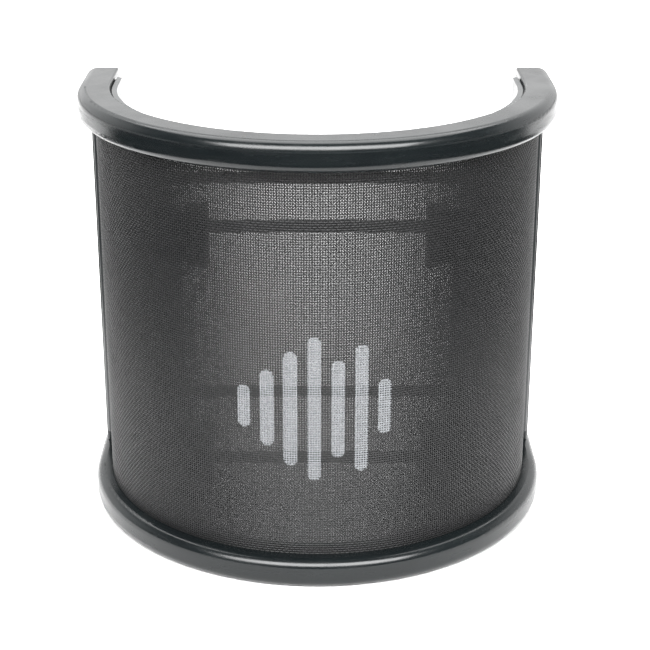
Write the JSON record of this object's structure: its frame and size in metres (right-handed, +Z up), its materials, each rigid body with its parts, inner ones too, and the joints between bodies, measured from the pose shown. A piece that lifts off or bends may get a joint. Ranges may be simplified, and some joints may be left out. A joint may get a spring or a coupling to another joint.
{
  "type": "pop filter",
  "caption": "Curved wire-mesh pop filter that wraps round a side-address studio microphone, with a rim at top and bottom and elastic loops inside that grip the microphone.",
  "frame": {"origin": "centre of the outline, on the underside of the bottom rim", "axes": "+Z up, the round front faces -Y, the open back faces +Y, +X to the right seen from the front"},
  "size_m": [0.1112, 0.072, 0.103],
  "materials": {
    "rim_plastic": "semi-gloss moulded plastic, nearly black with a cold tint",
    "edge_trim_plastic": "satin black moulded bead",
    "mesh_wire": "fine woven wire, coated satin black",
    "retainer_plastic": "thin glossy black strip",
    "cradle_plastic": "fine matte moulded plastic, black",
    "strut_steel": "black-coated round steel bar",
    "screw_steel": "zinc-plated pan heads with a cross recess",
    "elastic": "round black elastic with a dull skin"
  },
  "bodies": {
    "filter": {"top_rim": "rim_plastic", "bottom_rim": "rim_plastic", "left_end_post": "rim_plastic", "right_end_post": "rim_plastic", "left_edge_trim": "edge_trim_plastic", "right_edge_trim": "edge_trim_plastic", "outer_mesh": "mesh_wire", "inner_mesh": "mesh_wire", "top_mesh_retainer": "retainer_plastic", "bottom_mesh_retainer": "retainer_plastic", "left_upper_arm": "cradle_plastic", "right_upper_arm": "cradle_plastic", "left_lower_arm": "cradle_plastic", "right_lower_arm": "cradle_plastic", "left_upper_guide": "cradle_plastic", "right_upper_guide": "cradle_plastic", "left_lower_guide": "cradle_plastic", "right_lower_guide": "cradle_plastic", "left_strut": "strut_steel", "right_strut": "strut_steel", "lug_screws": "screw_steel", "upper_band_left": "elastic", "upper_band_right": "elastic", "lower_band_left": "elastic", "lower_band_right": "elastic"},
    "upper_front_run": {"upper_band_front": "elastic"},
    "upper_rear_run": {"upper_band_rear": "elastic"},
    "lower_front_run": {"lower_band_front": "elastic"},
    "lower_rear_run": {"lower_band_rear": "elastic"}
  },
  "joints": [
    {"name": "upper_front_stretch", "type": "slide", "parent": "filter", "child": "upper_front_run", "axis": [0, -1, 0], "range_m": [0, 0.0065], "stiffness_N_per_m": 60, "deforming": ["upper_band_left", "upper_band_right"]},
    {"name": "upper_rear_stretch", "type": "slide", "parent": "filter", "child": "upper_rear_run", "axis": [0, 1, 0], "range_m": [0, 0.018], "stiffness_N_per_m": 60, "deforming": ["upper_band_left", "upper_band_right"]},
    {"name": "lower_front_stretch", "type": "slide", "parent": "filter", "child": "lower_front_run", "axis": [0, -1, 0], "range_m": [0, 0.0065], "stiffness_N_per_m": 60, "deforming": ["lower_band_left", "lower_band_right"]},
    {"name": "lower_rear_stretch", "type": "slide", "parent": "filter", "child": "lower_rear_run", "axis": [0, 1, 0], "range_m": [0, 0.018], "stiffness_N_per_m": 60, "deforming": ["lower_band_left", "lower_band_right"]}
  ]
}
